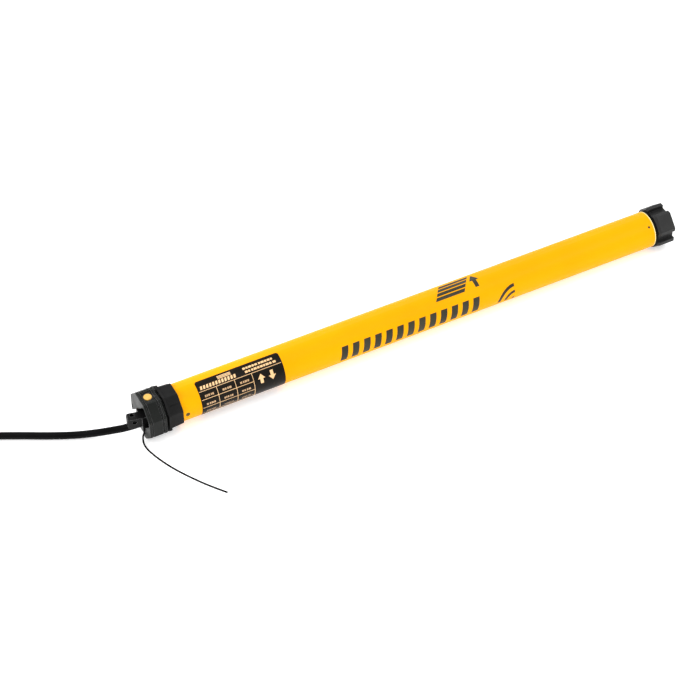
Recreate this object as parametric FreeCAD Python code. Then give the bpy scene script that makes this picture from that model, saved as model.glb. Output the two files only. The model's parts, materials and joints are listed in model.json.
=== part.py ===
import FreeCAD, Part
import math
import os

# Roller shutter motor, in millimetres. +X runs along the tube towards the drive end, +Z is up.
# The origin is on the motor's axis in the head's front face. The head stands on the floor.
# Angles round the axis are measured from -Y (the near side) towards +Z (the top).

# driving dimensions
HEAD_FLATS = 42.0            # octagonal head, across flats
TUBE_RADIUS = 17.5           # standard 35 mm tube
TUBE_WALL = 1.0
AXLE_FLATS = 38.2            # inside a 40 mm octagonal shutter axle
HEAD_END = 16.3
CROWN_START = 18.8
TUBE_START = 33.3
TUBE_LENGTH = 492.85
ADAPTER_LENGTH = 18.0
CABLE_RADIUS = 3.4
ANTENNA_RADIUS = 0.8
BUTTON_RADIUS = 3.7
PRESSURE_ANGLE = 25.0
MODULE = 0.65                # gearbox teeth
SUN_TEETH = 12
PLANET_TEETH = 15
RING_TEETH = 42
ENCODER_MODULE = 0.6
PINION_TEETH = 12
CROWN_TEETH = 52

# worked out
FLOOR = -HEAD_FLATS / 2
TUBE_END = TUBE_START + TUBE_LENGTH
BORE = TUBE_RADIUS - TUBE_WALL
SNUG = BORE - 0.05           # radius of what is pushed into the tube
ADAPTER_START = TUBE_END + 2.5
ADAPTER_END = ADAPTER_START + ADAPTER_LENGTH
PLANET_ORBIT = MODULE * (SUN_TEETH + PLANET_TEETH) / 2
ENCODER_ORBIT = ENCODER_MODULE * (CROWN_TEETH - PINION_TEETH) / 2
PLANET_ANGLES = (90.0, 210.0, 330.0)

# stations along the axis
SPIGOT_RADIUS = 14.92
CROWN_BORE = 15.0
TONGUE_RADIUS = 13.5
INSERT_END = 56.0
STATOR = (240.0, 330.0)
BRAKE_START = 352.0
GEARBOX_START = 392.0
GEARBOX_END = 498.0
STAGE_FACES = ((399.0, 411.0), (419.0, 433.0), (441.0, 461.0))
PLATE_THICKNESS = 4.0
SHAFT_RADIUS = 5.0

V = FreeCAD.Vector
ALONG = V(1, 0, 0)


def polar(radius, degrees, x=0.0):
    """Point at a radius from the axis, at an angle from -Y towards +Z."""
    a = math.radians(degrees)
    return V(x, -radius * math.cos(a), radius * math.sin(a))


def cyl(radius, x0, x1, y=0.0, z=0.0):
    return Part.makeCylinder(radius, x1 - x0, V(x0, y, z), ALONG)


def ring(outer, inner, x0, x1):
    return cyl(outer, x0, x1).cut(cyl(inner, x0, x1))


def box(x0, x1, y0, y1, z0, z1):
    return Part.makeBox(x1 - x0, y1 - y0, z1 - z0, V(x0, y0, z0))


def rod(start, end, radius):
    return Part.makeCylinder(radius, (end - start).Length, start, end - start)


def prism(points, x0, x1):
    """Outline of (y, z) points, pushed from x0 to x1."""
    wire = Part.makePolygon([V(x0, y, z) for y, z in points + points[:1]])
    return Part.Face(wire).extrude(V(x1 - x0, 0, 0))


def octagon_wire(flats, x):
    corner = flats / 2 / math.cos(math.pi / 8)
    return Part.makePolygon([polar(corner, 22.5 + 45 * k, x) for k in range(9)])


def octagon(flats, x0, x1, end_flats=None):
    """Octagonal bar with flats on all four sides; end_flats makes it taper."""
    wires = [octagon_wire(flats, x0), octagon_wire(end_flats or flats, x1)]
    return Part.makeLoft(wires, True, True)


def turned(shape, degrees):
    """A copy turned about the axis, from -Y towards +Z."""
    copy = shape.copy()
    copy.rotate(V(0, 0, 0), ALONG, -degrees)
    return copy


def fuse(shapes):
    shapes = list(shapes)
    return shapes[0].multiFuse(shapes[1:]).removeSplitter() if len(shapes) > 1 else shapes[0]


def save(name, shape):
    """Write one node; a list is a group of separate solids."""
    if isinstance(shape, (list, tuple)):
        shape = Part.makeCompound(list(shape))
    for solid in shape.Solids:
        if not solid.isValid() or solid.Volume <= 0:
            print("BAD SOLID", name)
    shape.exportStep(f"parts/{name}.step")
    print(f"{name:22s} {len(shape.Solids):3d} solids {shape.Volume:12.1f} mm3")


# toothed outlines

def involute(base, radius):
    """Angle swept by an involute of a base circle at a radius."""
    t = math.sqrt(max((radius / base) ** 2 - 1, 0))
    return t - math.atan(t)


def gear_face(teeth, module, x, internal=False, phase=0.0, slack=0.05):
    """Spur gear outline with involute flanks. phase turns a tooth's centre from -Y to +Z, in degrees.

    An internal gear's outline is the hole: its lobes are the spaces between the ring's teeth.
    """
    pitch = module * teeth / 2
    base = pitch * math.cos(math.radians(PRESSURE_ANGLE))
    tip = pitch + module * (1.12 if internal else 0.9)
    root = pitch - module * (0.85 if internal else 1.15)
    half = math.pi / 2 / teeth + (slack if internal else -slack) / 2 / pitch
    reach = half + involute(base, pitch)
    start = max(base, root)
    edges = []
    steps = [start + (tip - start) * k / 5 for k in range(6)]
    for k in range(teeth):
        centre = math.radians(phase) + 2 * math.pi * k / teeth
        nxt = centre + 2 * math.pi / teeth

        def at(radius, offset, middle=centre):
            return polar(radius, math.degrees(middle + offset), x)

        rise = [at(r, -(reach - involute(base, r))) for r in steps]
        fall = [at(r, reach - involute(base, r)) for r in reversed(steps)]
        foot = reach - involute(base, start)
        if root < start:
            edges.append(Part.LineSegment(at(root, -foot), rise[0]).toShape())
        edges.append(flank(rise))
        edges.append(Part.Arc(rise[-1], at(tip, 0), fall[0]).toShape())
        edges.append(flank(fall))
        low = min(root, start)
        if root < start:
            edges.append(Part.LineSegment(fall[-1], at(root, foot)).toShape())
        gap = polar(low, math.degrees((centre + nxt) / 2), x)
        edges.append(Part.Arc(at(low, foot), gap, polar(low, math.degrees(nxt - foot), x)).toShape())
    return Part.Face(Part.Wire(edges))


def flank(points):
    curve = Part.BSplineCurve()
    curve.interpolate(points)
    return curve.toShape()


def gear(teeth, module, x0, x1, internal=False, phase=0.0):
    return gear_face(teeth, module, x0, internal, phase).extrude(V(x1 - x0, 0, 0))


# cords

def cord(points, radius, name):
    """Tube along straight runs joined by tangent arcs, each arc as large as its two runs allow."""
    points = [V(*p) for p in points]
    edges = []
    start = points[0]
    radii = []
    for before, here, after in zip(points, points[1:], points[2:]):
        back = (before - here).normalize()
        on = (after - here).normalize()
        half_turn = (math.pi - back.getAngle(on)) / 2
        reach = 0.45 * min((here - before).Length, (after - here).Length)
        radii.append(reach / math.tan(half_turn))
        first = here + back * reach
        last = here + on * reach
        inward = (back + on).normalize()
        middle = here + inward * (radii[-1] / math.cos(half_turn) - radii[-1])
        edges.append(Part.LineSegment(start, first).toShape())
        edges.append(Part.Arc(first, middle, last).toShape())
        start = last
    edges.append(Part.LineSegment(start, points[-1]).toShape())
    path = Part.Wire(edges)
    end_face = Part.Wire(Part.makeCircle(radius, points[0], points[1] - points[0]))
    tube = path.makePipeShell([end_face], True, False)
    expected = math.pi * radius ** 2 * path.Length
    print(f"{name}: length {path.Length:.1f}, volume ratio {tube.Volume / expected:.4f},"
          f" radii {[round(r, 1) for r in radii]}")
    return tube


CABLE_ROUTE = [(2.0, 0.0, -8.9), (-12.5, 1.9, -10.3), (-24.5, 7.2, -12.8), (-38.0, 13.4, -15.5),
               (-54.0, 20.9, -17.4), (-74.0, 30.6, -17.55), (-98.2, 43.7, -17.5),
               (-121.3, 55.4, -17.55), (-146.0, 69.0, -17.5), (-171.2, 82.7, -17.55)]
COIL_CENTRE = (-145.8, 127.7)
COIL_INNER = 24.4
COIL_OUTER = 55.0
COIL_HEIGHT = 13.9
TAIL_ROUTE = [(-197.3, 124.1, -10.8), (-196.1, 138.4, -8.2), (-188.8, 152.5, -4.9),
              (-176.6, 161.9, -3.55), (-163.4, 167.2, -3.6), (-151.6, 168.9, -3.55)]
CORE_SPREAD = {"core_brown": -9.0, "core_blue": 0.0, "core_earth": 9.0}
CORE_RADIUS = 1.2
ANTENNA_ROUTE = [(0.8, -5.6, -14.7), (-1.7, -7.0, -16.4), (-3.6, -10.2, -19.0), (-4.9, -16.5, -20.15),
                 (-3.3, -26.4, -20.17), (1.7, -41.2, -20.15), (7.5, -54.2, -20.17),
                 (15.5, -68.5, -20.15), (25.5, -84.6, -20.17), (36.3, -98.8, -20.15)]

# head: a front cover and a housing, both cut by the cable recess

RIM = 1.8
COVER_THICKNESS = 2.2
SEAM_END = 3.4               # end of the groove behind the cover
RECESS_DEPTH = 4.2
POCKET_DEPTH = 9.0
WALL_END = 12.0
RECESS_DIAGONAL = 9.8        # the recess is open where y + z is less than this
BLOCK_SIDE = -5.0            # the lower block stands on the near side of this y
BLOCK_TOP = -16.0            # and where y + z is less than this


def recess():
    inset = HEAD_FLATS / 2 - RIM
    slope = inset * math.sqrt(2)
    outline = [((RECESS_DIAGONAL - slope) / 2, (RECESS_DIAGONAL + slope) / 2),
               (-inset, slope - inset),
               (-inset, BLOCK_TOP + inset),
               (BLOCK_SIDE, BLOCK_TOP - BLOCK_SIDE),
               (BLOCK_SIDE, -30.0),
               (RECESS_DIAGONAL + 30.0, -30.0)]
    shallow = prism(outline, -1.0, RECESS_DEPTH)
    pocket = box(-1.0, POCKET_DEPTH, -8.5, 7.0, -13.4, 5.4)
    return shallow.fuse(pocket)


def antenna_bore():
    return rod(V(*ANTENNA_ROUTE[0]), V(*ANTENNA_ROUTE[1]), ANTENNA_RADIUS)


BUTTON_X = 8.2
BUTTON_TOP = 20.7
WELL_FLOOR = 17.0
GASKET_OUTER = 4.7


def button_axis(radius, z0, z1):
    return Part.makeCylinder(radius, z1 - z0, V(BUTTON_X, 0, z0))


def head_cover():
    plate = octagon(HEAD_FLATS - 0.8, 0.0, 0.4, HEAD_FLATS)
    plate = plate.fuse(octagon(HEAD_FLATS, 0.4, COVER_THICKNESS)).removeSplitter()
    plate = plate.cut(recess())
    for z in (-0.9, -4.6):
        plate = plate.cut(cyl(0.7, -1, 1.5, -16.6, z))
    plate = plate.cut(box(-1, 1.2, 17.6, 19.6, -6.0, -1.5))
    return plate.cut(antenna_bore())


def head_housing():
    body = octagon(HEAD_FLATS - 2.0, COVER_THICKNESS, SEAM_END)
    body = fuse([body,
                 octagon(HEAD_FLATS, SEAM_END, 12.4),
                 octagon(HEAD_FLATS - 3.4, 12.4, 13.7),
                 octagon(HEAD_FLATS, 13.7, HEAD_END),
                 cyl(17.0, HEAD_END, CROWN_START - 0.1),
                 cyl(SPIGOT_RADIUS, CROWN_START - 0.1, TUBE_START),
                 cyl(TONGUE_RADIUS, TUBE_START, TUBE_START + 11)])
    body = body.cut(recess())
    body = body.cut(cyl(12.4, WALL_END, TUBE_START + 12))
    # framed pocket, well and stem bore of the setting button
    body = body.cut(box(3.6, 12.9, -6.6, 6.6, 19.9, 22))
    body = body.cut(button_axis(GASKET_OUTER, WELL_FLOOR, 22))
    body = body.cut(button_axis(1.6, 11, 18))
    # chamber for the board's tongue and its switch
    body = body.cut(box(5.0, WALL_END + 1, -2.4, 4.6, 9.6, 14.4))
    # slot and latch window behind the button, and grip notches along the rear flange
    body = body.cut(box(10.9, 12.2, -5.2, 5.2, 18.8, 22))
    body = body.cut(box(13.2, 17.0, -2.2, 5.4, 19.6, 22))
    for angle in (0, 45, 225, 270, 315):
        notch = box(13.2, 14.6, -22, -20.2, -6.0, 6.0)
        body = body.cut(turned(notch, angle))
    # socket opening, then window, magnet pocket and bearing web of the encoder pinion
    body = body.cut(box(POCKET_DEPTH - 1, WALL_END + 1, -6.0, 4.6, -11.4, 3.0))
    body = body.cut(box(25.2, 30.0, -4.8, 4.8, -18, -9))
    body = body.cut(cyl(MAGNET_HUB_RADIUS + 0.3, 21.2, 25.4, 0, -ENCODER_ORBIT))
    web = box(31.0, TUBE_START, -3.2, 3.2, -12.9, -10.0)
    body = body.fuse(web).cut(cyl(0.86, 30, 34, 0, -ENCODER_ORBIT))
    for angle in HEAD_SCREW_ANGLES:
        body = body.cut(rod(polar(11, angle, HEAD_SCREW_X), polar(14, angle, HEAD_SCREW_X), 1.05))
    return body.removeSplitter()


def socket_pins():
    return [cyl(0.7, 2.6, 16.0, y, z) for y in (-4.0, 2.6) for z in (-1.0, -4.0)]


def plug_body():
    inner = box(-1.5, POCKET_DEPTH - 0.1, -7.6, 6.0, -12.8, 4.6)
    yaw = 12.5
    outer = box(-13.6, 0.5, -7.4, 1.6, -5.5, 4.6)
    outer = outer.makeFillet(2.0, [e for e in outer.Edges if abs(e.CenterOfMass.x + 13.6) < 0.01])
    outer.rotate(V(0, -3.0, 0), V(0, 0, 1), -yaw)
    body = inner.fuse(outer)
    body = body.cut(rod(V(*CABLE_ROUTE[0]), V(*CABLE_ROUTE[1]), CABLE_RADIUS))
    for start, end in plug_screw_axes():
        body = body.cut(rod(start, end, 2.1))
        body = body.cut(rod(end, end + (end - start).normalize() * 2.0, 0.8))
    for pin in ((-4.0, -1.0), (2.6, -1.0), (-4.0, -4.0), (2.6, -4.0)):
        body = body.cut(cyl(0.7, 2.6, POCKET_DEPTH, *pin))
    return body.removeSplitter()


def plug_screw_axes():
    """From outside each screw's pocket to the pocket's floor."""
    top = (V(-7.9, 0.4, 6.0), V(-7.9, 0.4, 1.4))
    side = (V(-8.2, -8.0, 0.8), V(-7.3, -3.3, 0.8))
    return top, side


def plug_screws():
    screws = []
    for start, end in plug_screw_axes():
        inward = (end - start).normalize()
        head = rod(end - inward * 0.8, end, 1.7)
        cross = rod(end - inward * 0.9, end - inward * 0.4, 0.45)
        shank = rod(end, end + inward * 1.5, 0.8)
        screws.append(head.fuse(shank).cut(cross))
    return screws


def setting_button():
    cap = button_axis(BUTTON_RADIUS, 18.1, BUTTON_TOP)
    cap = cap.makeFillet(0.3, [e for e in cap.Edges if abs(e.CenterOfMass.z - BUTTON_TOP) < 0.01])
    return cap.fuse(button_axis(1.5, 15.0, 18.1)).removeSplitter()


def button_gasket():
    gasket = button_axis(GASKET_OUTER, WELL_FLOOR, 19.7)
    return gasket.cut(button_axis(BUTTON_RADIUS + 0.06, WELL_FLOOR, 21))


# crown and encoder

CROWN_FLANGE_END = 20.8
PINION_FACE = (26.0, 29.0)
MAGNET_HUB_RADIUS = 2.0


def crown_ring():
    rounding = Part.makeCone(20.55, 19.65, TUBE_START - CROWN_FLANGE_END, V(CROWN_FLANGE_END, 0, 0), ALONG)
    skirt = octagon(38.4, CROWN_FLANGE_END, TUBE_START - 0.1, 37.0).common(rounding)
    body = fuse([octagon(HEAD_FLATS, CROWN_START, CROWN_FLANGE_END), skirt])
    body = body.cut(cyl(CROWN_BORE, CROWN_START - 1, TUBE_START + 1))
    teeth = gear(CROWN_TEETH, ENCODER_MODULE, PINION_FACE[0] - 0.4, PINION_FACE[1] + 0.4,
                 internal=True, phase=-90)
    body = body.cut(teeth)
    # shallow keyways on the slanting flats
    for k in range(4):
        groove = box(23.0, 32.0, -20, -18.4, -0.6, 0.6)
        body = body.cut(turned(groove, 45 + 90 * k))
    return body


def encoder_pinion():
    """Counting pinion on its shaft, with the moulded-in magnet's hub at its inner end."""
    wheel = gear(PINION_TEETH, ENCODER_MODULE, *PINION_FACE, phase=-90)
    wheel = wheel.fuse(cyl(0.8, 23.5, 33.2))
    magnet_hub = cyl(MAGNET_HUB_RADIUS, 21.6, 24.3).fuse(cyl(1.6, 24.3, 26.0))
    wheel = wheel.fuse(magnet_hub).removeSplitter()
    wheel.translate(V(0, 0, -ENCODER_ORBIT))
    return wheel


# tube and what closes it

HEAD_SCREW_X = TUBE_START + 4.4
HEAD_SCREW_ANGLES = (0, 180)
END_SCREW_X = TUBE_END - 5.2
END_SCREW_ANGLES = (50, 170, 290)


def countersunk(x, angle, shank, head, inner):
    """Screw solid from an inner radius out to the tube's surface, with a cone under its head."""
    rise = head - shank
    top = TUBE_RADIUS - 0.05
    axis = polar(1, angle)
    body = rod(polar(inner, angle, x), polar(top, angle, x), shank)
    cone = Part.makeCone(shank, head, rise, polar(top - rise, angle, x), axis)
    return body.fuse(cone).removeSplitter()


def head_screws():
    screws = []
    for angle in HEAD_SCREW_ANGLES:
        screw = countersunk(HEAD_SCREW_X, angle, 1.05, 2.1, 11.0)
        slots = box(HEAD_SCREW_X - 1.3, HEAD_SCREW_X + 1.3, -18, -17.0, -0.22, 0.22)
        slots = slots.fuse(box(HEAD_SCREW_X - 0.22, HEAD_SCREW_X + 0.22, -18, -17.0, -1.3, 1.3))
        screws.append(screw.cut(turned(slots, angle)))
    return screws


def end_screws():
    screws = []
    for angle in END_SCREW_ANGLES:
        start = polar(12.0, angle, END_SCREW_X)
        top = polar(TUBE_RADIUS - 0.35, angle, END_SCREW_X)
        socket = rod(polar(16.3, angle, END_SCREW_X), polar(18, angle, END_SCREW_X), 0.55)
        screws.append(rod(start, top, 1.1).cut(socket))
    return screws


def motor_tube():
    tube = ring(TUBE_RADIUS, BORE, TUBE_START, TUBE_END)
    for angle in HEAD_SCREW_ANGLES:
        hole = countersunk(HEAD_SCREW_X, angle, 1.05, 2.1, 11.0)
        hole = hole.fuse(rod(polar(17.4, angle, HEAD_SCREW_X), polar(19, angle, HEAD_SCREW_X), 2.15))
        tube = tube.cut(hole)
    for angle in END_SCREW_ANGLES:
        tube = tube.cut(rod(polar(12, angle, END_SCREW_X), polar(19, angle, END_SCREW_X), 1.1))
    return tube


def tube_insert():
    body = ring(SNUG, TONGUE_RADIUS + 0.05, TUBE_START + 0.1, INSERT_END)
    for angle in HEAD_SCREW_ANGLES:
        hole = countersunk(HEAD_SCREW_X, angle, 1.05, 2.1, 11.0)
        body = body.cut(hole)
    return body


LABEL_X = (TUBE_START + 18.4, TUBE_START + 100.0)
LABEL_ANGLES = (-80.0, 88.0)
LABEL_THICKNESS = 0.12
LABEL_CORNER = 2.6
SECTOR_TURN = 90.0           # turns the cylinder primitive's sector start onto -Y


def rating_label():
    outer = TUBE_RADIUS + LABEL_THICKNESS
    low, high = LABEL_ANGLES
    shell = Part.makeCylinder(outer, LABEL_X[1] - LABEL_X[0], V(LABEL_X[0], 0, 0), ALONG, high - low)
    # the cylinder's sector starts on -Y after this turn
    shell.rotate(V(0, 0, 0), ALONG, SECTOR_TURN - high)
    shell = shell.cut(cyl(TUBE_RADIUS, LABEL_X[0] - 1, LABEL_X[1] + 1))
    inset = math.degrees(LABEL_CORNER / outer)
    for x, side in ((LABEL_X[0], 1), (LABEL_X[1], -1)):
        for angle, turn in ((low, 1), (high, -1)):
            middle_x = x + side * LABEL_CORNER
            middle = angle + turn * inset
            square = box(min(x, middle_x) - (side > 0), max(x, middle_x) + (side < 0),
                         -20, -15, min(0, -turn * 4), max(0, -turn * 4))
            square = turned(square, middle)
            round_corner = rod(polar(14, middle, middle_x), polar(21, middle, middle_x), LABEL_CORNER)
            shell = shell.cut(square.cut(round_corner))
    return shell


def end_collar():
    body = cyl(SNUG, TUBE_END - 15, TUBE_END)
    lip = Part.makeCone(17.6, 18.3, 2.0, V(TUBE_END, 0, 0), ALONG)
    body = body.fuse(lip).cut(cyl(SHAFT_RADIUS + 0.5, TUBE_END - 20, TUBE_END + 5))
    body = body.cut(cyl(13.5, TUBE_END - 16, TUBE_END - 12))
    for angle in END_SCREW_ANGLES:
        body = body.cut(rod(polar(12, angle, END_SCREW_X), polar(19, angle, END_SCREW_X), 1.1))
    return body


# drive adapter on the output shaft

CHANNEL_WIDTH = 8.8
CHANNEL_FLOOR = 15.5
HUB_RADIUS = 9.0
FLAT_START = ADAPTER_START + 0.5
SHAFT_END = ADAPTER_END - 6.0


def drive_adapter():
    lead = 2.5
    body = fuse([octagon(35.6, ADAPTER_START, ADAPTER_START + lead, AXLE_FLATS),
                 octagon(AXLE_FLATS, ADAPTER_START + lead, ADAPTER_END - 0.5),
                 octagon(AXLE_FLATS, ADAPTER_END - 0.5, ADAPTER_END, AXLE_FLATS - 1)])
    hollow = ring(13.3, HUB_RADIUS, ADAPTER_START + 4, ADAPTER_END + 1)
    for k in range(8):
        rib = box(ADAPTER_START, ADAPTER_END + 1, -15, -5, -0.9, 0.9)
        hollow = hollow.cut(turned(rib, 22.5 + 45 * k))
    body = body.cut(hollow)
    for k in range(4):
        channel = box(ADAPTER_START - 1, ADAPTER_END + 1, -22, -CHANNEL_FLOOR,
                      -CHANNEL_WIDTH / 2, CHANNEL_WIDTH / 2)
        body = body.cut(turned(channel, 90 * k))
    body = body.cut(shaft_end(ADAPTER_START - 1, SHAFT_END))
    body = body.cut(cyl(2.0, SHAFT_END - 1, ADAPTER_END))
    return body.cut(cyl(4.4, SHAFT_END + 1.5, ADAPTER_END + 1)).removeSplitter()


def shaft_end(x0, x1):
    """Round shaft with two flats beyond FLAT_START."""
    flats = box(FLAT_START, x1, -10, 10, -4.0, 4.0)
    return fuse([cyl(SHAFT_RADIUS, x0, FLAT_START), cyl(SHAFT_RADIUS, FLAT_START, x1).common(flats)])


def adapter_screw():
    screw = cyl(2.0, SHAFT_END - 9, SHAFT_END + 1.5).fuse(cyl(3.8, SHAFT_END + 1.5, SHAFT_END + 4.2))
    cross = box(SHAFT_END + 2.6, SHAFT_END + 5, -2.2, 2.2, -0.4, 0.4)
    return screw.cut(cross).cut(turned(cross, 90)).removeSplitter()


# planetary gearbox: three stages in one ring

def gearbox_housing():
    body = cyl(SNUG, GEARBOX_START, GEARBOX_END)
    body = body.cut(gear(RING_TEETH, MODULE, GEARBOX_START - 1, 474.0, internal=True, phase=90))
    body = body.cut(cyl(7.5, 470, GEARBOX_END + 1))
    return body


def gearbox_cover():
    return ring(SNUG, 6.5, GEARBOX_START - 4, GEARBOX_START)


def output_bush():
    return ring(7.5, SHAFT_RADIUS + 0.05, 474.5, GEARBOX_END)


def planet(stage, angle):
    """Planet with a tooth pointing outward and so a space towards the sun."""
    x0, x1 = STAGE_FACES[stage]
    wheel = gear(PLANET_TEETH, MODULE, x0, x1, phase=angle).cut(cyl(1.56, x0 - 1, x1 + 1))
    centre = polar(PLANET_ORBIT, angle)
    wheel.translate(centre)
    return wheel


def carrier(stage, tail):
    """Plate behind a stage with the pins of its planets, fused with what it turns."""
    x0, x1 = STAGE_FACES[stage]
    plate = cyl(12.4, x1 + 0.5, x1 + 0.5 + PLATE_THICKNESS)
    pins = []
    for angle in PLANET_ANGLES:
        centre = polar(PLANET_ORBIT, angle)
        pins.append(cyl(1.5, x0 - 0.4, x1 + 1, centre.y, centre.z))
    return fuse([plate, tail] + pins)


def sun(stage):
    """Sun of a stage, from the plate of the stage before it."""
    plate_end = STAGE_FACES[stage - 1][1] + 0.5 + PLATE_THICKNESS
    return gear(SUN_TEETH, MODULE, plate_end - 0.5, STAGE_FACES[stage][1] - 0.6, phase=90)


def output_carrier():
    plate_end = STAGE_FACES[2][1] + 0.5 + PLATE_THICKNESS
    shaft = shaft_end(plate_end - 1, SHAFT_END)
    body = carrier(2, shaft)
    return body.cut(cyl(2.0, SHAFT_END - 9, SHAFT_END + 1))


# induction motor and brake

AIR_GAP_RADIUS = 9.0
ROTOR_RADIUS = 8.7


def stator_core():
    """Laminated stack with four slots for each of its coils."""
    body = ring(15.6, AIR_GAP_RADIUS, *STATOR)
    for k in range(12):
        slot = box(STATOR[0] - 1, STATOR[1] + 1, -13.2, -AIR_GAP_RADIUS - 0.6, -1.2, 1.2)
        body = body.cut(turned(slot, 30 * k))
    return body


def stator_windings():
    front = ring(14.4, 9.8, STATOR[0] - 8, STATOR[0])
    rear = ring(14.4, 9.8, STATOR[1], STATOR[1] + 8)
    coils = []
    for end in (front, rear):
        rims = [e for e in end.Edges if abs(e.Length - 2 * math.pi * 14.4) < 0.1]
        coils.append(end.makeFillet(1.6, rims))
    return coils


def end_shield(x0, x1, outward):
    """Cup that carries a bush; outward is -1 at the front and 1 at the rear."""
    body = ring(SNUG, 14.8, x0, x1)
    plate = (x0, x0 + 3) if outward < 0 else (x1 - 3, x1)
    return body.fuse(ring(SNUG, 4.5, *plate)).removeSplitter()


FRONT_SHIELD = (226.0, 240.0)
REAR_SHIELD = (330.0, 344.0)


def rotor_bushes():
    front = ring(4.5, 2.55, FRONT_SHIELD[0], FRONT_SHIELD[0] + 5)
    rear = ring(4.5, 2.55, REAR_SHIELD[1] - 5, REAR_SHIELD[1])
    return [front, rear]


def rotor_shaft():
    x0, x1 = STAGE_FACES[0]
    shaft = cyl(2.5, 224.0, x0 - 6)
    neck = cyl(2.5, x0 - 6, x0 - 1)
    return fuse([shaft, neck, gear(SUN_TEETH, MODULE, x0 - 1, x1, phase=90)])


def rotor_core():
    body = ring(ROTOR_RADIUS, 2.5, STATOR[0] + 1, STATOR[1] - 1)
    for end in ((STATOR[0] - 2, STATOR[0] + 1), (STATOR[1] - 1, STATOR[1] + 2)):
        body = body.fuse(ring(8.2, 4.2, *end))
    return body.removeSplitter()


def brake_housing():
    body = ring(SNUG, 4.0, BRAKE_START, BRAKE_START + 18)
    body = body.cut(ring(13.0, 8.0, BRAKE_START + 5, BRAKE_START + 19))
    return body.cut(cyl(6.2, BRAKE_START + 16.5, BRAKE_START + 19))


def brake_spring():
    """Wave washer in the magnet's pocket, modelled flat."""
    return ring(6.0, 4.8, BRAKE_START + 16.5, BRAKE_START + 18.4)


def run_capacitor():
    can = cyl(13.5, 160, 214)
    rims = [e for e in can.Edges if abs(e.Length - 27 * math.pi) < 0.1]
    return can.makeFillet(1.5, rims)


# electronics on one board above the axis

BOARD = (9.9, 11.5)


def control_board():
    tongue = box(5.6, WALL_END + 4, -1.9, 4.1, *BOARD)
    neck = box(WALL_END + 3, INSERT_END + 3, -4.1, 4.1, *BOARD)
    wide = box(INSERT_END + 2, 150, -11.3, 11.3, *BOARD)
    return fuse([tongue, neck, wide])


def tact_switch():
    body = box(BUTTON_X - 2.3, BUTTON_X + 2.3, -1.7, 3.0, BOARD[1], BOARD[1] + 1.7)
    return body.fuse(button_axis(1.0, BOARD[1] + 1.5, 13.9)).removeSplitter()


def relays():
    return [box(95, 113, -9.5, -0.6, 0, BOARD[0]), box(95, 113, 0.6, 9.5, 0, BOARD[0])]


def transformer():
    core = box(118, 142, -9, 9, -4, BOARD[0])
    winding = box(121, 139, -10.5, 10.5, -1.5, BOARD[0] - 2.5)
    return core.fuse(winding).removeSplitter()


def radio_module():
    board = box(62, 84, -8, 8, BOARD[1], BOARD[1] + 0.8)
    shield = box(65, 80, -6, 6, BOARD[1] + 0.8, BOARD[1] + 2.6)
    return board.fuse(shield).removeSplitter()


# cable coil and its stripped end

def mains_cable_coil():
    """Outer shape of two layers of turns laid flat."""
    centre = V(*COIL_CENTRE, FLOOR)
    up = V(0, 0, 1)
    coil = Part.makeCylinder(COIL_OUTER, COIL_HEIGHT, centre, up)
    coil = coil.cut(Part.makeCylinder(COIL_INNER, COIL_HEIGHT, centre, up))
    rims = [e for e in coil.Edges if isinstance(e.Curve, Part.Circle)]
    return coil.makeFillet(3.0, rims)


def core_route(turn):
    """Insulated core from the sheath's end, splayed by a turn in degrees."""
    start = V(*TAIL_ROUTE[-1])
    ahead = (start - V(*TAIL_ROUTE[-2])).normalize()
    side = V(ahead.y, -ahead.x, 0) * (-turn / 9.0)
    first = start + side * 1.6 + V(0, 0, 0.7 if turn else -1.3)
    middle = first + ahead * 14 + side * 2.0 + V(0, 0, -1.0 if turn else 0.2)
    end = middle + ahead * 14 + side * 5.0 + V(0, 0, -0.3 if turn else 0.0)
    return [tuple(p) for p in (first, middle, end)]


def ferrule(turn):
    before, tip = [V(*p) for p in core_route(turn)[-2:]]
    ahead = (tip - before).normalize()
    collar = Part.makeCone(1.0, 1.5, 2.5, tip + ahead * 2.5, ahead * -1)
    return rod(tip, tip + ahead * 10, 0.75).fuse(collar).removeSplitter()


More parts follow.
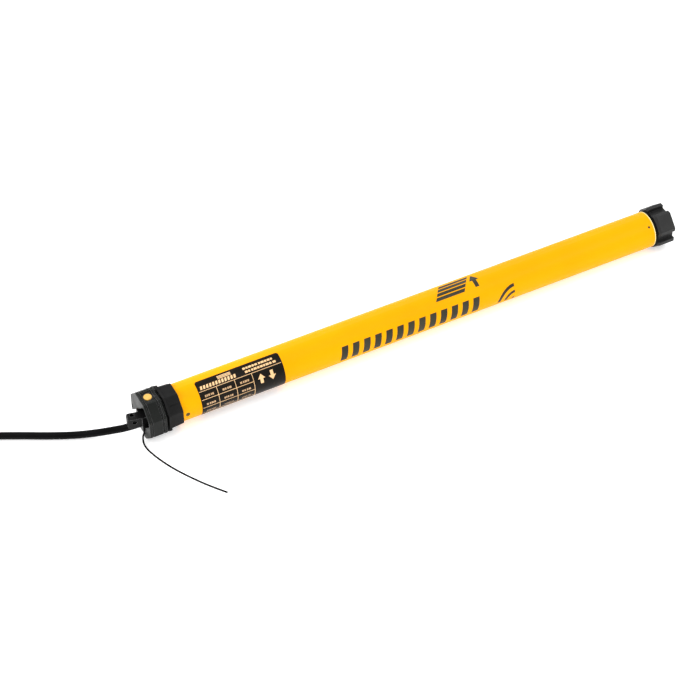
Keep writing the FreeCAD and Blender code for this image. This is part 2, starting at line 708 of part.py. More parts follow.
def build():
    os.makedirs("parts", exist_ok=True)
    save("head_cover", head_cover())
    save("head_housing", head_housing())
    save("button_gasket", button_gasket())
    save("setting_button", setting_button())
    save("socket_block", box(POCKET_DEPTH, WALL_END + 1, -6.0, 4.6, -11.4, 3.0)
         .cut(Part.makeCompound(socket_pins())))
    save("socket_pins", socket_pins())
    save("plug_body", plug_body())
    save("plug_screws", plug_screws())
    save("crown_ring", crown_ring())
    save("encoder_pinion", encoder_pinion())
    save("tube_insert", tube_insert())
    save("motor_tube", motor_tube())
    save("head_screws", head_screws())
    save("end_screws", end_screws())
    save("rating_label", rating_label())
    save("control_board", control_board())
    save("tact_switch", tact_switch())
    save("radio_module", radio_module())
    save("relays", relays())
    save("transformer", transformer())
    save("run_capacitor", run_capacitor())
    save("stator_sleeve", ring(SNUG, 15.6, *STATOR))
    save("stator_core", stator_core())
    save("stator_windings", stator_windings())
    save("front_shield", end_shield(*FRONT_SHIELD, -1))
    save("rear_shield", end_shield(*REAR_SHIELD, 1))
    save("rotor_bushes", rotor_bushes())
    save("rotor_core", rotor_core())
    save("rotor_shaft", rotor_shaft())
    save("brake_housing", brake_housing())
    save("brake_coil", ring(13.0, 8.0, BRAKE_START + 5, BRAKE_START + 17))
    save("brake_spring", brake_spring())
    save("brake_armature", ring(14.0, 4.0, BRAKE_START + 19.0, BRAKE_START + 21.5))
    save("brake_disc", ring(13.6, 2.5, BRAKE_START + 21.6, BRAKE_START + 25))
    save("gearbox_cover", gearbox_cover())
    save("gearbox_housing", gearbox_housing())
    save("carrier_1", carrier(0, sun(1)))
    save("carrier_2", carrier(1, sun(2)))
    save("output_carrier", output_carrier())
    for stage in range(3):
        for letter, angle in zip("abc", PLANET_ANGLES):
            save(f"planet_{stage + 1}{letter}", planet(stage, angle))
    save("output_bush", output_bush())
    save("end_collar", end_collar())
    save("drive_adapter", drive_adapter())
    save("adapter_screw", adapter_screw())
    save("mains_cable", cord(CABLE_ROUTE, CABLE_RADIUS, "mains cable"))
    save("mains_cable_coil", mains_cable_coil())
    save("mains_cable_tail", cord(TAIL_ROUTE, CABLE_RADIUS, "cable tail"))
    for name, turn in CORE_SPREAD.items():
        save(name, cord(core_route(turn), CORE_RADIUS, name))
    save("ferrules", [ferrule(turn) for turn in CORE_SPREAD.values()])
    save("antenna_wire", cord(ANTENNA_ROUTE, ANTENNA_RADIUS, "antenna wire"))


build()
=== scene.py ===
import bmesh
import bpy
import json
import math
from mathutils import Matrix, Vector


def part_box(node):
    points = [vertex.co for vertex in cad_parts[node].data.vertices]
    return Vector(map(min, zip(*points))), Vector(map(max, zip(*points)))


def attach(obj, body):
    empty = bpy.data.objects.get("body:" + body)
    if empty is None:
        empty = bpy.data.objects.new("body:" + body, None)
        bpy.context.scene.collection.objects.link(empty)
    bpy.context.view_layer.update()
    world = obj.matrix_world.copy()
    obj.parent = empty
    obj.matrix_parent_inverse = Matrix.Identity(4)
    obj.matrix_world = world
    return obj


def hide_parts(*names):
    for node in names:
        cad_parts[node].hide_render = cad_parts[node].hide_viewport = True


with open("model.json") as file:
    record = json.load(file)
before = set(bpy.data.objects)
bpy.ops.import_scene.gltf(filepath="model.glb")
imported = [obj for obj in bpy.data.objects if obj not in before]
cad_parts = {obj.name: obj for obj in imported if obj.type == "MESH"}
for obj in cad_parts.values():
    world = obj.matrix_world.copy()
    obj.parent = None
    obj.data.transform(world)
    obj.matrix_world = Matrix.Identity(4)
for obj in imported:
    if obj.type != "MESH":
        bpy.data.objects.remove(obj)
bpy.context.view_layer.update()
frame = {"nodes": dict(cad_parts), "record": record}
MM = 0.001

# Places read from the frame. Angles round the motor's axis run from -Y towards +Z.
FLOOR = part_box("head_housing")[0].z
TUBE_START, TUBE_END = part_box("motor_tube")[0].x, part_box("motor_tube")[1].x
TUBE_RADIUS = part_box("motor_tube")[1].z
LABEL_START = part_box("rating_label")[0].x
LABEL_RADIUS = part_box("rating_label")[1].z
BODY = "drive_body"


def place_object(name, data):
    """New object of the scene over its data."""
    made = bpy.data.objects.new(name, data)
    bpy.context.scene.collection.objects.link(made)
    return made


# ---------------------------------------------------------------- camera

CAMERA_AZIMUTH = -27.7
CAMERA_ELEVATION = 45.06
CAMERA_DISTANCE = 1.9488
CAMERA_AIM = Vector((0.1999, -0.0098, 0.0))
CAMERA_LENS = 111.7
SENSOR = 36.0
CLIP = (0.05, 20.0)


def make_camera():
    """Camera at its distance from the aim, turned from -Y and lifted."""
    turn, lift = math.radians(CAMERA_AZIMUTH), math.radians(CAMERA_ELEVATION)
    back = Vector((math.sin(turn) * math.cos(lift), -math.cos(turn) * math.cos(lift),
                   math.sin(lift)))
    data = bpy.data.cameras.new("camera")
    data.lens = CAMERA_LENS
    data.sensor_width = SENSOR
    data.clip_start, data.clip_end = CLIP
    camera = place_object("camera", data)
    camera.location = CAMERA_AIM + back * CAMERA_DISTANCE
    camera.rotation_euler = (-back).to_track_quat("-Z", "Y").to_euler()
    bpy.context.scene.camera = camera


# ---------------------------------------------------------------- cords

CABLE_DIAMETER = 6.8 * MM
ANTENNA_DIAMETER = 1.6 * MM

# Routes in millimetres, as in the part's source.
CABLE_ROUTE = [(2.0, 0.0, -8.9), (-12.5, 1.9, -10.3), (-24.5, 7.2, -12.8), (-38.0, 13.4, -15.5),
               (-54.0, 20.9, -17.4), (-74.0, 30.6, -17.55), (-98.2, 43.7, -17.5),
               (-121.3, 55.4, -17.55), (-146.0, 69.0, -17.5), (-171.2, 82.7, -17.55)]
TAIL_ROUTE = [(-197.3, 124.1, -10.8), (-196.1, 138.4, -8.2), (-188.8, 152.5, -4.9),
              (-176.6, 161.9, -3.55), (-163.4, 167.2, -3.6), (-151.6, 168.9, -3.55)]
ANTENNA_ROUTE = [(0.8, -5.6, -14.7), (-1.7, -7.0, -16.4), (-3.6, -10.2, -19.0),
                 (-4.9, -16.5, -20.15), (-3.3, -26.4, -20.17), (1.7, -41.2, -20.15),
                 (7.5, -54.2, -20.17), (15.5, -68.5, -20.15), (25.5, -84.6, -20.17),
                 (36.3, -98.8, -20.15)]
COIL_CENTRE = (-145.8, 127.7)
COIL_OUTER = 51.6
COIL_PITCH = 7.0
COIL_LOW, COIL_HIGH = -17.55, -10.7
COIL_START = 240.6            # degrees, where the straight run meets the outer turn
LAYER_TURNS = 3.4
CLIMB_TURNS = 0.34
TAIL_TURNS = 0.029            # past the last full spiral, to where the tail leaves it
COIL_STEPS = 16               # control points in each turn
CURVE_ORDER = 3
CORD_ROUNDNESS, CORD_FINENESS = 6, 10     # round the section and along the line


def coil_turns():
    """Turns of the coil: a flat spiral inwards, a climb at the inner edge, then a spiral back
    out on top of the first."""
    end_turn = LAYER_TURNS * 2 + CLIMB_TURNS + TAIL_TURNS
    inner = COIL_OUTER - COIL_PITCH * LAYER_TURNS
    points = []
    for k in range(1, round(end_turn * COIL_STEPS)):
        turn = k / COIL_STEPS
        if turn < LAYER_TURNS:
            radius, height = COIL_OUTER - COIL_PITCH * turn, COIL_LOW
        elif turn < LAYER_TURNS + CLIMB_TURNS:
            share = (turn - LAYER_TURNS) / CLIMB_TURNS
            radius, height = inner, COIL_LOW + (COIL_HIGH - COIL_LOW) * share
        else:
            radius = inner + COIL_PITCH * (turn - LAYER_TURNS - CLIMB_TURNS)
            height = COIL_HIGH
        angle = math.radians(COIL_START - 360.0 * turn)
        points.append((COIL_CENTRE[0] + radius * math.cos(angle),
                       COIL_CENTRE[1] + radius * math.sin(angle), height))
    return points


def round_curve(name, points, radius, roundness):
    """Data of a round quadratic NURBS curve on its control points, in metres, and its line."""
    data = bpy.data.curves.new(name, "CURVE")
    data.dimensions = "3D"
    data.bevel_depth = radius
    data.bevel_resolution = roundness
    spline = data.splines.new("NURBS")
    spline.points.add(len(points) - 1)
    for point, place in zip(spline.points, points):
        point.co = (*place, 1.0)
    spline.order_u = CURVE_ORDER
    return data, spline


def cord_curve(name, route, diameter, material, replaced):
    """Round cord along its route in millimetres, in place of some of the part's nodes."""
    points = [[v * MM for v in place] for place in route]
    data, spline = round_curve(name, points, diameter / 2, CORD_ROUNDNESS)
    data.use_fill_caps = True
    spline.use_endpoint_u = True
    spline.resolution_u = CORD_FINENESS
    curve = place_object(name, data)
    data.materials.append(material)
    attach(curve, BODY)
    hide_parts(*replaced)
    return curve


def centre_points(curve):
    """Points along a cord's own line, in metres."""
    plain = curve.data.copy()
    plain.bevel_depth = 0.0
    probe = bpy.data.objects.new("probe", plain)
    mesh = bpy.data.meshes.new_from_object(probe)
    points = [v.co.copy() for v in mesh.vertices]
    bpy.data.objects.remove(probe)
    bpy.data.curves.remove(plain)
    bpy.data.meshes.remove(mesh)
    return points


# ---------------------------------------------------------------- materials

NOISE_DETAIL, NOISE_ROUGHNESS = 3.0, 0.5
GLOSS_SCALE = 3.1             # gloss varies in smaller patches than colour
# The second sample count here, and the width and range below, set the painted edge highlights: a
# paler colour along square edges that stands for the light they catch.
SOFT_SAMPLES, HIGHLIGHT_SAMPLES = 4, 12
HIGHLIGHT_WIDTH = 0.5 * MM
HIGHLIGHT_RANGE = (0.78, 0.94)     # cosine between an edge's rounded normal and its true one
# Painted highlight on the tube's drive-end rim: a pale colour that stands for light caught on its
# edge.
RIM_HIGHLIGHT = (1.0, 0.86, 0.42)
RIM_HIGHLIGHT_FADE = (1.0 * MM, 0.5 * MM)     # before the tube's end
STRIPE_EDGE = (0.48, 0.52)
STRIPE_ROUGHNESS = 0.35


def new_material(name):
    """Material with its nodes and links."""
    made = bpy.data.materials.new(name)
    made.use_nodes = True
    return made, made.node_tree.nodes, made.node_tree.links


def add(nodes, kind, **values):
    """Node of a kind, with its inputs and settings filled in by name."""
    node = nodes.new(kind)
    for key, value in values.items():
        if key in node.inputs:
            node.inputs[key].default_value = value
        else:
            setattr(node, key, value)
    return node


def noise(nodes, links, scale, stretch=None):
    """Noise in the object's own metres; scale is features per metre."""
    place = add(nodes, "ShaderNodeTexCoord")
    texture = add(nodes, "ShaderNodeTexNoise", Scale=scale, Detail=NOISE_DETAIL,
                  Roughness=NOISE_ROUGHNESS)
    if stretch:
        mapping = add(nodes, "ShaderNodeMapping")
        mapping.inputs["Scale"].default_value = stretch
        links.new(place.outputs["Object"], mapping.inputs["Vector"])
        links.new(mapping.outputs["Vector"], texture.inputs["Vector"])
    else:
        links.new(place.outputs["Object"], texture.inputs["Vector"])
    return texture.outputs["Fac"]


def as_colour(value):
    """Opaque colour from red, green and blue, or from one grey."""
    return (*value, 1.0) if isinstance(value, tuple) else (value, value, value, 1.0)


def ramp(nodes, links, value, low, high, start=0.35, end=0.65):
    """Colours or greys from low to high as the value rises."""
    node = add(nodes, "ShaderNodeValToRGB")
    stops = node.color_ramp.elements
    stops[0].position, stops[1].position = start, end
    stops[0].color, stops[1].color = as_colour(low), as_colour(high)
    links.new(value, node.inputs["Fac"])
    return node.outputs["Color"]


def bump(nodes, links, height, distance, edge=None):
    """Surface relief in metres, over a normal that rounds edges by a radius."""
    node = add(nodes, "ShaderNodeBump", Strength=1.0, Distance=distance)
    links.new(height, node.inputs["Height"])
    if edge:
        bevel = add(nodes, "ShaderNodeBevel", Radius=edge)
        bevel.samples = SOFT_SAMPLES
        links.new(bevel.outputs["Normal"], node.inputs["Normal"])
    return node.outputs["Normal"]


def blend_colour(nodes, links, shader, mask, colour):
    """Lay a colour over what already feeds the base colour, where the mask is white."""
    mix = add(nodes, "ShaderNodeMixRGB", Color2=as_colour(colour))
    links.new(shader.inputs["Base Color"].links[0].from_socket, mix.inputs["Color1"])
    links.new(mask, mix.inputs["Fac"])
    links.new(mix.outputs["Color"], shader.inputs["Base Color"])


def edge_highlight_mask(nodes, links, radius):
    """White along square edges, where a paler colour is laid as a painted highlight."""
    bevel = add(nodes, "ShaderNodeBevel", Radius=radius)
    bevel.samples = HIGHLIGHT_SAMPLES
    flat = add(nodes, "ShaderNodeNewGeometry")
    agree = add(nodes, "ShaderNodeVectorMath", operation="DOT_PRODUCT")
    links.new(bevel.outputs["Normal"], agree.inputs[0])
    links.new(flat.outputs["True Normal"], agree.inputs[1])
    return ramp(nodes, links, agree.outputs["Value"], 1.0, 0.0, *HIGHLIGHT_RANGE)


def surface(name, dark, light, rough=(0.4, 0.5), metallic=0.0, patch=40.0, grain=2500.0,
            relief=0.00002, edge=0.0003, stretch=None, edge_highlight=None, **sockets):
    """Material with slow colour and gloss variation, a fine surface grain and softened edges."""
    made, nodes, links = new_material(name)
    shader = nodes["Principled BSDF"]
    shader.inputs["Metallic"].default_value = metallic
    for key, value in sockets.items():
        shader.inputs[key.replace("_", " ")].default_value = value
    links.new(ramp(nodes, links, noise(nodes, links, patch, stretch=stretch), dark, light),
              shader.inputs["Base Color"])
    links.new(ramp(nodes, links, noise(nodes, links, patch * GLOSS_SCALE), rough[0], rough[1]),
              shader.inputs["Roughness"])
    links.new(bump(nodes, links, noise(nodes, links, grain, stretch=stretch), relief, edge=edge),
              shader.inputs["Normal"])
    # Painted edge highlight: a paler colour laid along square edges where light would catch.
    if edge_highlight:
        blend_colour(nodes, links, shader, edge_highlight_mask(nodes, links, HIGHLIGHT_WIDTH), edge_highlight)
    return made


def striped(name, first, second, width):
    """Insulation with a lengthwise second colour that winds slowly."""
    made, nodes, links = new_material(name)
    shader = nodes["Principled BSDF"]
    shader.inputs["Roughness"].default_value = STRIPE_ROUGHNESS
    place = add(nodes, "ShaderNodeTexCoord")
    wave = add(nodes, "ShaderNodeTexWave", Scale=1.0 / width, Distortion=0.0)
    wave.bands_direction = "DIAGONAL"
    links.new(place.outputs["Object"], wave.inputs["Vector"])
    links.new(ramp(nodes, links, wave.outputs["Fac"], first, second, *STRIPE_EDGE),
              shader.inputs["Base Color"])
    links.new(bump(nodes, links, noise(nodes, links, 3000.0), 0.00001), shader.inputs["Normal"])
    return made


def powder_coat():
    """Satin yellow coat with orange peel and a faint mottle, with a painted highlight along the
    tube's drive end.
    """
    made = surface("yellow_powder_coat", (0.90, 0.37, 0.0), (0.94, 0.397, 0.0), rough=(0.36, 0.44),
                   patch=18.0, grain=1300.0, relief=0.000012, edge=0.0004, Specular_IOR_Level=0.05)
    nodes, links = made.node_tree.nodes, made.node_tree.links
    place = add(nodes, "ShaderNodeTexCoord")
    axes = add(nodes, "ShaderNodeSeparateXYZ")
    links.new(place.outputs["Object"], axes.inputs["Vector"])
    # Paint the pale rim highlight over the tube's last millimetre, at full strength in the last
    # half.
    reach = add(nodes, "ShaderNodeMapRange",
                **{"From Min": TUBE_END - RIM_HIGHLIGHT_FADE[0], "From Max": TUBE_END - RIM_HIGHLIGHT_FADE[1]})
    links.new(axes.outputs["X"], reach.inputs["Value"])
    blend_colour(nodes, links, nodes["Principled BSDF"], reach.outputs["Result"], RIM_HIGHLIGHT)
    return made


def make_materials():
    """Materials by the record's slots, then the prints; the collar has one of its own, darkened to
    paint the shade of the gap beside it.
    """
    return {
        # The head, plug and adapter plastics take painted edge highlights along their square edges.
        "black_plastic": surface("head_plastic", (0.007, 0.008, 0.007), (0.011, 0.012, 0.011),
                                 rough=(0.34, 0.44), grain=3200.0, relief=0.000035,
                                 edge_highlight=(0.15, 0.15, 0.15), Specular_IOR_Level=0.11),
        "crown_plastic": surface("crown_plastic", (0.008, 0.008, 0.008), (0.012, 0.012, 0.012),
                                 rough=(0.38, 0.48), grain=3200.0, relief=0.00003,
                                 Specular_IOR_Level=0.07),
        # A blacker plastic for the end collar, painting the shade of the gap beside it.
        "collar_shade_plastic": surface("collar_shade_plastic", (0.002, 0.002, 0.002), (0.004, 0.004, 0.004),
                                  rough=(0.4, 0.5), grain=3200.0, relief=0.00003,
                                  Specular_IOR_Level=0.05),
        "plug_plastic": surface("plug_plastic", (0.003, 0.003, 0.003), (0.006, 0.006, 0.006),
                                rough=(0.25, 0.35), grain=4000.0, relief=0.00002,
                                edge_highlight=(0.20, 0.20, 0.20), Specular_IOR_Level=0.12),
        "adapter_plastic": surface("adapter_plastic", (0.013, 0.013, 0.013), (0.019, 0.019, 0.019),
                                   rough=(0.4, 0.5), grain=3000.0, relief=0.00003, edge=0.0004,
                                   edge_highlight=(0.06, 0.06, 0.06), Specular_IOR_Level=0.2),
        "yellow_paint": powder_coat(),
        "button_yellow": surface("button_plastic", (0.66, 0.37, 0.065), (0.71, 0.41, 0.085),
                                 rough=(0.38, 0.45), patch=300.0, relief=0.00001, edge=0.0002,
                                 Subsurface_Weight=0.1, Subsurface_Scale=0.002),
        "soft_black": surface("gasket_rubber", (0.006, 0.006, 0.006), (0.011, 0.011, 0.011),
                              rough=(0.6, 0.7), relief=0.00003),
        "cable_sheath": surface("cable_sheath", (0.001, 0.001, 0.0012), (0.0025, 0.0025, 0.0028),
                                rough=(0.18, 0.28), patch=60.0, grain=1800.0, relief=0.00003,
                                edge=None, Specular_IOR_Level=0.06),
        "antenna_sheath": surface("antenna_sheath", (0.001, 0.001, 0.001), (0.002, 0.002, 0.002),
                                  rough=(0.35, 0.45), grain=4000.0, relief=0.00001, edge=None,
                                  Specular_IOR_Level=0.03),
        "core_brown": surface("core_brown", (0.06, 0.018, 0.006), (0.08, 0.026, 0.009),
                              rough=(0.3, 0.4)),
        "core_blue": surface("core_blue", (0.012, 0.07, 0.35), (0.016, 0.09, 0.42),
                             rough=(0.3, 0.4)),
        "core_green_yellow": striped("core_green_yellow", (0.06, 0.33, 0.03), (0.85, 0.65, 0.02),
                                     width=12.0 * MM),
        "tinned_steel": surface("tinned_steel", (0.60, 0.60, 0.60), (0.72, 0.72, 0.71),
                                rough=(0.22, 0.35), metallic=1.0, patch=400.0, relief=0.00001),
        "screw_steel": surface("screw_steel", (0.09, 0.065, 0.015), (0.16, 0.12, 0.04),
                               rough=(0.25, 0.4), metallic=1.0, patch=600.0, relief=0.00001,
                               edge=0.0001),
        "dark_screw": surface("dark_screw", (0.02, 0.02, 0.02), (0.05, 0.05, 0.05),
                              rough=(0.35, 0.5), metallic=1.0, patch=600.0, relief=0.00001,
                              edge=0.0001),
        "label_film": surface("label_film", (0.006, 0.0045, 0.003), (0.009, 0.007, 0.0045),
                              rough=(0.32, 0.4), relief=0.000008, edge=None,
                              Specular_IOR_Level=0.1),
        "board_green": surface("board_green", (0.008, 0.09, 0.03), (0.012, 0.13, 0.045),
                               rough=(0.25, 0.35), patch=500.0),
        "brass": surface("contact_brass", (0.70, 0.46, 0.15), (0.82, 0.58, 0.22), rough=(0.2, 0.35),
                         metallic=1.0, patch=500.0),
        "bronze": surface("sintered_bronze", (0.40, 0.22, 0.08), (0.52, 0.31, 0.13),
                          rough=(0.45, 0.6), metallic=1.0, patch=900.0, grain=5000.0,
                          relief=0.00006),
        "relay_plastic": surface("relay_plastic", (0.01, 0.04, 0.22), (0.014, 0.055, 0.28),
                                 rough=(0.3, 0.4)),
        "transformer_tape": surface("transformer_tape", (0.60, 0.40, 0.02), (0.72, 0.50, 0.04),
                                    rough=(0.3, 0.45), patch=120.0),
        "module_metal": surface("module_can", (0.55, 0.56, 0.57), (0.68, 0.69, 0.70),
                                rough=(0.25, 0.4), metallic=1.0, patch=300.0),
        "capacitor_case": surface("capacitor_case", (0.66, 0.66, 0.62), (0.74, 0.74, 0.70),
                                  rough=(0.25, 0.35)),
        "insulating_card": surface("pressboard", (0.50, 0.38, 0.18), (0.62, 0.49, 0.26),
                                   rough=(0.7, 0.85), grain=1500.0, relief=0.00008),
        "lamination_steel": surface("lamination_steel", (0.10, 0.10, 0.11), (0.20, 0.20, 0.21),
                                    rough=(0.35, 0.5), metallic=1.0, grain=1500.0, relief=0.0001,
                                    stretch=(2.0, 0.02, 0.02)),
        "copper_wire": surface("enamelled_copper", (0.45, 0.13, 0.04), (0.62, 0.22, 0.08),
                               rough=(0.2, 0.35), metallic=1.0, patch=900.0, grain=1200.0,
                               relief=0.0003),
        "die_cast": surface("die_cast", (0.50, 0.51, 0.53), (0.62, 0.63, 0.65), rough=(0.4, 0.55),
                            metallic=1.0, grain=1800.0, relief=0.00005),
        "ground_steel": surface("ground_steel", (0.48, 0.49, 0.50), (0.60, 0.61, 0.62),
                                rough=(0.18, 0.3), metallic=1.0, grain=2500.0, relief=0.00002,
                                stretch=(4.0, 0.2, 0.2)),
        "brake_lining": surface("brake_lining", (0.03, 0.022, 0.014), (0.06, 0.045, 0.03),
                                rough=(0.8, 0.9), patch=1500.0, grain=3000.0, relief=0.0001),
        "gear_steel": surface("gear_steel", (0.26, 0.26, 0.27), (0.36, 0.36, 0.37),
                              rough=(0.35, 0.5), metallic=1.0, patch=800.0, relief=0.00004),
        "gear_plastic": surface("gear_acetal", (0.72, 0.70, 0.62), (0.80, 0.78, 0.70),
                                rough=(0.35, 0.45)),
        "print_cream": surface("print_cream", (0.86, 0.52, 0.24), (0.93, 0.60, 0.30),
                               rough=(0.35, 0.45), relief=0.000005, edge=None),
        "print_fine": surface("print_fine", (0.50, 0.30, 0.15), (0.56, 0.35, 0.18),
                              rough=(0.35, 0.45), relief=0.000005, edge=None),
        "print_dark": surface("print_dark", (0.030, 0.028, 0.018), (0.045, 0.042, 0.026),
                              rough=(0.3, 0.4), relief=0.000006, edge=None,
                              Specular_IOR_Level=0.15),
    }


# ---------------------------------------------------------------- prints wrapped round the tube

INK = 0.03 * MM
ARC_STEP = 1.2 * MM           # longest flat of a print round the tube
BAND_STEPS = 14
BLOCK_WIDTHS = (1.0, 0.72, 1.15, 0.85)                     # in turn, to one another
TABLE_TOP, TABLE_FOOT, LABEL_FOOT = 52.5, -25.0, -62.0     # degrees round the tube
RULE = 0.45 * MM


def wrap(name, outlines, radius, material):
    """Thin closed patches on the tube. Outlines are (x, arc) points in metres, arc measured upward
    from the near side along the surface."""
    bm = bmesh.new()
    for outline in outlines:
        bm.faces.new([bm.verts.new((x, s, 0.0)) for x, s in outline])
    low = min(v.co.y for v in bm.verts)
    high = max(v.co.y for v in bm.verts)
    for k in range(1, int((high - low) / ARC_STEP) + 1):
        geometry = bm.verts[:] + bm.edges[:] + bm.faces[:]
        bmesh.ops.bisect_plane(bm, geom=geometry, plane_co=(0, low + k * ARC_STEP, 0),
                               plane_no=(0, 1, 0))
    top = bm.faces[:]
    extruded = bmesh.ops.extrude_face_region(bm, geom=top)
    for v in (g for g in extruded["geom"] if isinstance(g, bmesh.types.BMVert)):
        v.co.z = INK
    for v in bm.verts:
        r = radius + (v.co.z if v.co.z > 0 else -INK)
        angle = v.co.y / radius
        v.co = (v.co.x, -r * math.cos(angle), r * math.sin(angle))
    bmesh.ops.recalc_face_normals(bm, faces=bm.faces[:])
    mesh = bpy.data.meshes.new(name)
    bm.to_mesh(mesh)
    bm.free()
    mesh.materials.append(material)
    piece = place_object(name, mesh)
    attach(piece, BODY)
    return piece


def bar(x, s, width, height, lean=0.0):
    """Upright or leaning bar from its lower left corner."""
    return [(x, s), (x + width, s), (x + width + lean, s + height), (x + lean, s + height)]


def arc_band(x, s, inner, outer, start, end):
    """Part of a ring round (x, s), angles in degrees from +x."""
    angles = [math.radians(start + (end - start) * k / BAND_STEPS) for k in range(BAND_STEPS + 1)]
    out = [(x + outer * math.cos(a), s + outer * math.sin(a)) for a in angles]
    back = [(x + inner * math.cos(a), s + inner * math.sin(a)) for a in reversed(angles)]
    return out + back


def arrow(x, s, width, height, up=True):
    """Solid arrow centred on x, standing on s."""
    stem, head = width * 0.42, height * 0.5
    side = [(stem / 2, 0.0), (stem / 2, height - head), (width / 2, height - head), (0.0, height)]
    right = [(x + a, s + (b if up else height - b)) for a, b in side]
    left = [(x - a, s + (b if up else height - b)) for a, b in reversed(side[:-1])]
    return right + left


def dashes(x, s, width, height, lengths, gap=0.55 * MM):
    """A line of plain upright blocks that fills a width, in repeating proportions with a wider gap
    after each group."""
    blocks = [BLOCK_WIDTHS[(k + m) % len(BLOCK_WIDTHS)]
              for k, count in enumerate(lengths) for m in range(count)]
    breaks = len(lengths) - 1
    free = width - gap * (len(blocks) - 1) - gap * breaks
    scale = free / sum(blocks)
    shapes, n = [], 0
    for count in lengths:
        for _ in range(count):
            shapes.append(bar(x, s, blocks[n] * scale, height))
            x += blocks[n] * scale + gap
            n += 1
        x += gap
    return shapes


def tube_print(material):
    """A row of leaning slats along the tube's near side."""
    start, slats, pitch = TUBE_START + 155 * MM, 13, 11.35 * MM
    foot, width, height, lean = -5.4 * MM, 6.6 * MM, 15.4 * MM, 2.6 * MM
    shapes = [bar(start + k * pitch, foot, width, height, lean) for k in range(slats)]
    return wrap("slat_print", shapes, TUBE_RADIUS, material)


def shutter_sign(material):
    """Four slats of a shutter with an arrow for its travel beside them."""
    left, foot = TUBE_START + 258 * MM, 18.6 * MM
    width, height, lean = 30 * MM, 3.3 * MM, 2.3 * MM
    shapes = [bar(left + 3.0 * k * MM, foot + 4.3 * k * MM, width, height, lean) for k in range(4)]
    shapes.append(arrow(left + 44.0 * MM, foot + 0.5 * MM, 9.5 * MM, 15.0 * MM))
    return wrap("shutter_sign", shapes, TUBE_RADIUS, material)


def radio_print(material):
    """Quarter rings of radio waves round one point."""
    x, s = TUBE_START + 337.5 * MM, -7.6 * MM
    first, last = 92, 176
    rings = ((0.5 * MM, 3.2 * MM), (8.2 * MM, 11.2 * MM), (15.0 * MM, 18.2 * MM))
    shapes = [arc_band(x, s, inner, outer, first, last) for inner, outer in rings]
    return wrap("radio_print", shapes, TUBE_RADIUS, material)


def label_x(offset):
    """Place along the tube, from the label's end in millimetres."""
    return LABEL_START + offset * MM


def label_arc(degrees):
    """Place round the tube on the label, from the near side."""
    return math.radians(degrees) * LABEL_RADIUS


def label_print(material):
    """Rules of the label's table."""
    shapes = [bar(label_x(0.8), label_arc(TABLE_TOP), 80.0 * MM, RULE)]
    for level in (27.5, 1.0, TABLE_FOOT):
        shapes.append(bar(label_x(0.8), label_arc(level), 50.3 * MM, RULE))
    for offset in (16.8, 34.3):
        height = label_arc(TABLE_TOP) - label_arc(TABLE_FOOT) - RULE
        shapes.append(bar(label_x(offset), label_arc(TABLE_FOOT) + RULE, RULE, height))
    height = label_arc(TABLE_TOP) - label_arc(LABEL_FOOT)
    shapes.append(bar(label_x(51.1), label_arc(LABEL_FOOT), RULE, height))
    return wrap("label_rules", shapes, LABEL_RADIUS, material)


def label_entries(material):
    """Plain blocks in the label's headings and the two arrows in its right-hand field."""
    shapes = [bar(label_x(2.6 + 2.95 * k), label_arc(58.0), 1.9 * MM, 3.3 * MM, lean=0.7 * MM)
              for k in range(12)]
    shapes += [bar(label_x(21.0), label_arc(71.5) + 1.15 * k * MM, 13.0 * MM, 0.7 * MM)
               for k in range(3)]
    shapes += dashes(label_x(45.5), label_arc(71.0), 29 * MM, 2.0 * MM, (5, 5))
    shapes += dashes(label_x(46.5), label_arc(59.5), 30 * MM, 2.0 * MM, (2, 7, 1))
    shapes.append(arrow(label_x(59.0), label_arc(14), 7.0 * MM, 9.0 * MM))
    shapes.append(arrow(label_x(69.5), label_arc(14), 7.0 * MM, 9.0 * MM, up=False))
    return wrap("label_entries", shapes, LABEL_RADIUS, material)


def label_small_entries(material):
    """Small blocks in the table's cells and the lines of blocks under it."""
    shapes = []
    rows = ((34.5, ((3, 2), (2, 2), (1, 3))), (8.5, ((1, 3), (3, 2), (2, 2))),
            (-17.0, ((3, 3), (6, 2), (4, 3))))
    for level, cells in rows:
        height = 1.9 * MM if level > 0 else 1.2 * MM
        for offset, lengths in zip((4.6, 21.6, 38.8), cells):
            shapes += dashes(label_x(offset), label_arc(level), 8.6 * MM, height, lengths,
                             gap=0.45 * MM)
    for k, lengths in enumerate(((9, 5, 8), (6, 8, 6), (7, 4, 9))):
        shapes += dashes(label_x(3.4), label_arc(-34.0 - 11 * k), 42 * MM, 1.2 * MM, lengths)
    return wrap("label_small_entries", shapes, LABEL_RADIUS, material)


# ---------------------------------------------------------------- coil ties

TIE_RADIUS = 0.5 * MM
TIE_ROUNDNESS = 3
TIE_CORNER = 1.6 * MM
TIE_CLEARANCE = 0.05 * MM              # over the floor
TIE_ANGLES = (35.0, 215.0)             # degrees round the coil
TIE_WINDOW = math.radians(9.0)         # turns are measured this far to each side of a tie
COIL_REACH = 60.0 * MM


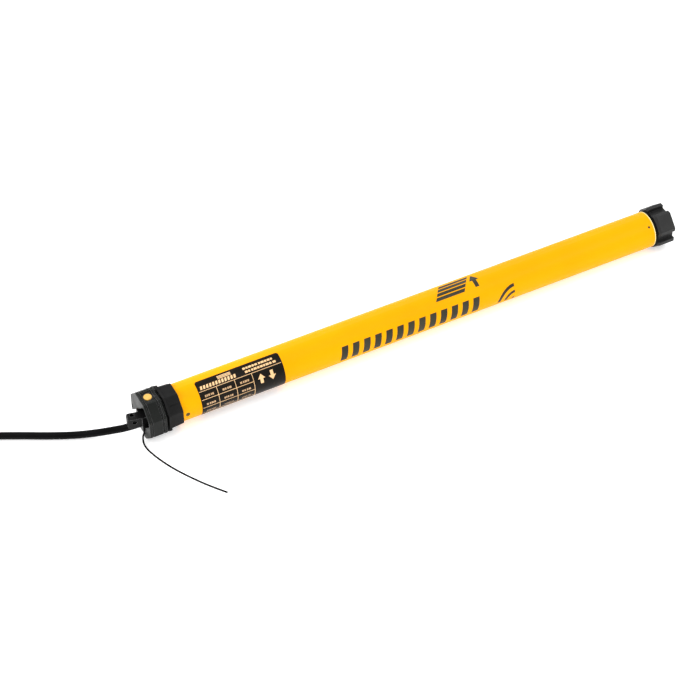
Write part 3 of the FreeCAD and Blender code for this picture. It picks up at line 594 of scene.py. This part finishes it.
def tie_outline(line, angle):
    """Radii and heights of a loop close round the turns that pass an angle, in metres."""
    turns = []
    for point in line:
        x, y = point.x - COIL_CENTRE[0] * MM, point.y - COIL_CENTRE[1] * MM
        radius = math.hypot(x, y)
        aside = abs(math.remainder(math.atan2(y, x) - angle, math.tau))
        if radius < COIL_REACH and aside < TIE_WINDOW:
            turns.append((radius, point.z))
    around = CABLE_DIAMETER / 2 + TIE_RADIUS
    inner, outer = min(r for r, z in turns) - around, max(r for r, z in turns) + around
    top, bottom = max(z for r, z in turns) + around, FLOOR + TIE_RADIUS + TIE_CLEARANCE
    return [(inner + TIE_CORNER, bottom), (outer - TIE_CORNER, bottom),
            (outer, bottom + TIE_CORNER), (outer, top - TIE_CORNER),
            (outer - TIE_CORNER, top), (inner + TIE_CORNER, top),
            (inner, top - TIE_CORNER), (inner, bottom + TIE_CORNER)]


def coil_ties(cable, material):
    """Two thin ties, each a closed loop close round the coil's bundle of turns."""
    line = centre_points(cable)
    ties = []
    for k, degrees in enumerate(TIE_ANGLES):
        name, angle = f"coil_tie_{k + 1}", math.radians(degrees)
        points = [(COIL_CENTRE[0] * MM + radius * math.cos(angle),
                   COIL_CENTRE[1] * MM + radius * math.sin(angle), height)
                  for radius, height in tie_outline(line, angle)]
        data, spline = round_curve(name, points, TIE_RADIUS, TIE_ROUNDNESS)
        spline.use_cyclic_u = True
        tie = place_object(name, data)
        data.materials.append(material)
        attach(tie, BODY)
        ties.append(tie)
    return ties


# ---------------------------------------------------------------- floor and light

WHITE = (1.0, 1.0, 1.0, 1.0)
FLOOR_GLOW = 0.4
FLOOR_SIDE = 14.0
WORLD_STRENGTH = 0.9


def make_floor():
    """Plain pale floor that glows a little, so shadows on it stay faint."""
    made, nodes, links = new_material("floor")
    shader = nodes["Principled BSDF"]
    shader.inputs["Roughness"].default_value = 0.75
    shader.inputs["Emission Color"].default_value = WHITE
    shader.inputs["Emission Strength"].default_value = FLOOR_GLOW
    links.new(ramp(nodes, links, noise(nodes, links, 3.0), (0.88, 0.88, 0.88), (0.92, 0.92, 0.92)),
              shader.inputs["Base Color"])
    bpy.ops.mesh.primitive_plane_add(size=FLOOR_SIDE, location=(0, 0, FLOOR))
    floor = bpy.context.active_object
    floor.name = "floor"
    floor.data.materials.append(made)


def area_light(name, place, aim, size, power):
    """Rectangular light of a size in metres and a power in watts, turned to its aim."""
    data = bpy.data.lights.new(name, "AREA")
    data.shape = "RECTANGLE"
    data.size, data.size_y = size
    data.energy = power
    light = place_object(name, data)
    light.location = place
    light.rotation_euler = (Vector(aim) - Vector(place)).to_track_quat("-Z", "Y").to_euler()


def make_light():
    """White surroundings and five soft lights."""
    world = bpy.data.worlds.new("world")
    bpy.context.scene.world = world
    world.use_nodes = True
    background = world.node_tree.nodes["Background"]
    background.inputs["Color"].default_value = WHITE
    background.inputs["Strength"].default_value = WORLD_STRENGTH
    middle = (0.27, 0.0, 0.0)
    area_light("key", (0.1, -0.5, 1.9), middle, (1.8, 1.4), 9.0)
    area_light("side", (-1.6, -0.2, 0.45), (0.0, 0.0, 0.0), (0.9, 0.7), 15.0)
    area_light("rim", (0.9, 1.4, 1.1), middle, (1.4, 0.5), 6.0)
    area_light("far_end", (0.95, -0.5, 0.7), (0.52, 0.0, 0.0), (0.5, 0.5), 2.2)
    area_light("behind_head", (-0.32, 0.36, 0.2), (-0.03, 0.05, FLOOR), (0.2, 0.2), 2.2)


# ---------------------------------------------------------------- scene

def dress_nodes(materials):
    """Every CAD node takes the material of its slot in the record, and the end collar a blacker
    one that paints the shade of the gap beside it."""
    for row in frame["record"]["subparts"]:
        node = frame["nodes"][row["node"]]
        node.data.materials.clear()
        slot = "collar_shade_plastic" if row["node"] == "end_collar" else row["material_slot"]
        node.data.materials.append(materials[slot])


def declare_cords(materials):
    """The mains lead with what is on it, and the antenna."""
    route = CABLE_ROUTE + coil_turns() + TAIL_ROUTE
    cable = cord_curve("mains_lead", route, CABLE_DIAMETER, materials["cable_sheath"],
                       ["mains_cable", "mains_cable_coil", "mains_cable_tail"])
    antenna = cord_curve("antenna_lead", ANTENNA_ROUTE, ANTENNA_DIAMETER,
                         materials["antenna_sheath"], ["antenna_wire"])
    on_cable = [frame["nodes"][n] for n in ("core_brown", "core_blue", "core_earth", "ferrules",
                                             "plug_body", "plug_screws")]
    on_cable += coil_ties(cable, materials["antenna_sheath"])


bpy.context.scene.view_settings.view_transform = "Standard"
make_camera()
MATERIALS = make_materials()
declare_cords(MATERIALS)
dress_nodes(MATERIALS)
tube_print(MATERIALS["print_dark"])
shutter_sign(MATERIALS["print_dark"])
radio_print(MATERIALS["print_dark"])
label_print(MATERIALS["print_cream"])
label_entries(MATERIALS["print_cream"])
label_small_entries(MATERIALS["print_fine"])
make_floor()
make_light()
